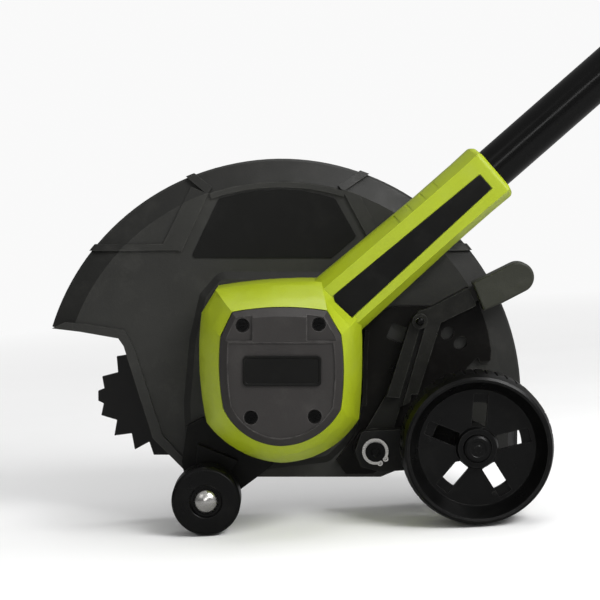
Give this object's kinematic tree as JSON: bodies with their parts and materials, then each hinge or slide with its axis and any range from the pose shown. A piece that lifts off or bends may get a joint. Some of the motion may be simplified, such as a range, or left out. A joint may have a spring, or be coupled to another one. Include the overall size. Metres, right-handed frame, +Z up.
{
  "type": "lawn edger",
  "caption": "Battery stick lawn edger: half-round blade guard, serrated blade, geared motor head, depth wheel, roller, two-piece shaft and handles.",
  "frame": {"origin": "on the ground, centred under the whole tool's bounding box", "axes": "+X along the tool from the cutting head towards the battery, +Y away from the motor side towards the blade, +Z up; the front roller and the rear wheel both touch z = 0"},
  "size_m": [1.331, 0.1342, 1.03],
  "materials": {
    "guard_grey": "fine moulded texture, satin",
    "housing_green": "fine moulded texture, satin",
    "cover_grey": "fine moulded texture",
    "black_plastic": "moulded, satin",
    "lever_grey": "moulded, matt",
    "wheel_black": "moulded, satin",
    "label_black": "blank printed film",
    "tube_black": "gloss enamel",
    "blade_black": "dark enamel on steel",
    "zinc_steel": "bright plated",
    "dark_steel": "black oxide",
    "machined_steel": "ground",
    "aluminium": "die cast",
    "rubber_black": "matt",
    "copper_core": "laminations and windings",
    "cell_blue": "shrink sleeve"
  },
  "bodies": {
    "frame": {"blade_guard": "guard_grey", "debris_flap": "rubber_black", "label_plate": "label_black", "front_housing": "housing_green", "rear_housing": "housing_green", "inlay_strip": "black_plastic", "motor_cover": "cover_grey", "badge_plate": "label_black", "case_screws": "dark_steel", "machine_screws": "dark_steel", "motor_can": "machined_steel", "motor_end_bell": "black_plastic", "gear_plate": "aluminium", "spindle_bearings": "machined_steel", "roller_bracket": "black_plastic", "roller_axle": "zinc_steel", "depth_quadrant": "black_plastic", "pivot_shaft": "dark_steel", "retaining_ring": "zinc_steel", "lower_tube": "tube_black", "upper_tube": "tube_black", "inner_sleeve": "aluminium", "power_cable": "rubber_black", "coupler_front": "black_plastic", "coupler_rear": "black_plastic", "aux_clamp_top": "black_plastic", "aux_clamp_base": "black_plastic", "handle_left": "housing_green", "handle_right": "housing_green", "switch_body": "black_plastic", "trigger_spring": "zinc_steel", "terminal_block": "black_plastic"},
    "spindle": {"blade_spindle": "machined_steel", "drive_gear": "machined_steel", "inner_flange": "zinc_steel", "outer_flange": "zinc_steel", "edger_blade": "blade_black", "blade_nut": "zinc_steel"},
    "rotor": {"armature": "copper_core", "motor_shaft": "machined_steel", "drive_pinion": "machined_steel"},
    "lever": {"wheel_arm": "black_plastic", "depth_lever": "black_plastic", "lever_grip": "lever_grey", "wheel_axle": "zinc_steel", "detent_spring": "zinc_steel"},
    "detent": {"detent_pin": "dark_steel"},
    "wheel": {"rear_wheel": "wheel_black", "hub_cap": "wheel_black"},
    "roller": {"front_roller": "wheel_black"},
    "coupler_knob_body": {"coupler_knob": "black_plastic"},
    "aux": {"aux_handle": "black_plastic", "aux_grip": "rubber_black"},
    "aux_knob_body": {"aux_knob": "black_plastic"},
    "trigger_body": {"trigger": "black_plastic"},
    "lock_body": {"lock_off": "black_plastic"},
    "battery": {"battery_front": "black_plastic", "battery_back": "lever_grey", "battery_cells": "cell_blue"},
    "latch": {"battery_latch": "housing_green"}
  },
  "joints": [
    {"name": "blade_spin", "type": "hinge", "parent": "frame", "child": "spindle", "pos_m": [-0.52791, 0.0251, 0.07086], "axis": [0, 1, 0], "continuous": true},
    {"name": "motor_spin", "type": "hinge", "parent": "frame", "child": "rotor", "pos_m": [-0.52652, 0.0251, 0.09482], "axis": [0, 1, 0], "continuous": true},
    {"name": "depth_adjust", "type": "hinge", "parent": "frame", "child": "lever", "pos_m": [-0.47294, 0.0251, 0.04085], "axis": [0, 1, 0], "range_deg": [0, 20.7]},
    {"name": "detent_pull", "type": "slide", "parent": "lever", "child": "detent", "axis": [0, -1, 0], "range_m": [0, 0.004], "deforming": ["detent_spring"]},
    {"name": "rear_wheel_spin", "type": "hinge", "parent": "lever", "child": "wheel", "pos_m": [-0.41464, 0.0251, 0.0445], "axis": [0, 1, 0], "continuous": true},
    {"name": "front_roller_spin", "type": "hinge", "parent": "frame", "child": "roller", "pos_m": [-0.57458, 0.0251, 0.02047], "axis": [0, 1, 0], "continuous": true},
    {"name": "coupler_knob_turn", "type": "hinge", "parent": "frame", "child": "coupler_knob_body", "pos_m": [0.00258, -0.0009, 0.48979], "axis": [0, 1, 0], "range_deg": [-360, 0]},
    {"name": "aux_handle_tilt", "type": "hinge", "parent": "frame", "child": "aux", "pos_m": [0.15853, -0.0009, 0.69619], "axis": [0, 1, 0], "range_deg": [-30, 35]},
    {"name": "aux_knob_turn", "type": "hinge", "parent": "aux", "child": "aux_knob_body", "pos_m": [0.15853, -0.0009, 0.69619], "axis": [0, 1, 0], "range_deg": [-360, 0]},
    {"name": "trigger_pull", "type": "slide", "parent": "frame", "child": "trigger_body", "axis": [-0.6161, 0, 0.7877], "range_m": [0, 0.0055], "deforming": ["trigger_spring"]},
    {"name": "lock_off_slide", "type": "slide", "parent": "frame", "child": "lock_body", "axis": [-0.7877, 0, -0.6161], "range_m": [0, 0.006]},
    {"name": "battery_slide", "type": "slide", "parent": "frame", "child": "battery", "axis": [0.6161, 0, -0.7877], "range_m": [0, 0.06], "stiffness_N_per_m": 60, "springref_m": -0.1},
    {"name": "battery_latch_press", "type": "slide", "parent": "battery", "child": "latch", "axis": [0.6161, 0, -0.7877], "range_m": [0, 0.002]}
  ],
  "couplings": [
    {"joint": "motor_spin", "follows": "blade_spin", "ratio": -3}
  ]
}
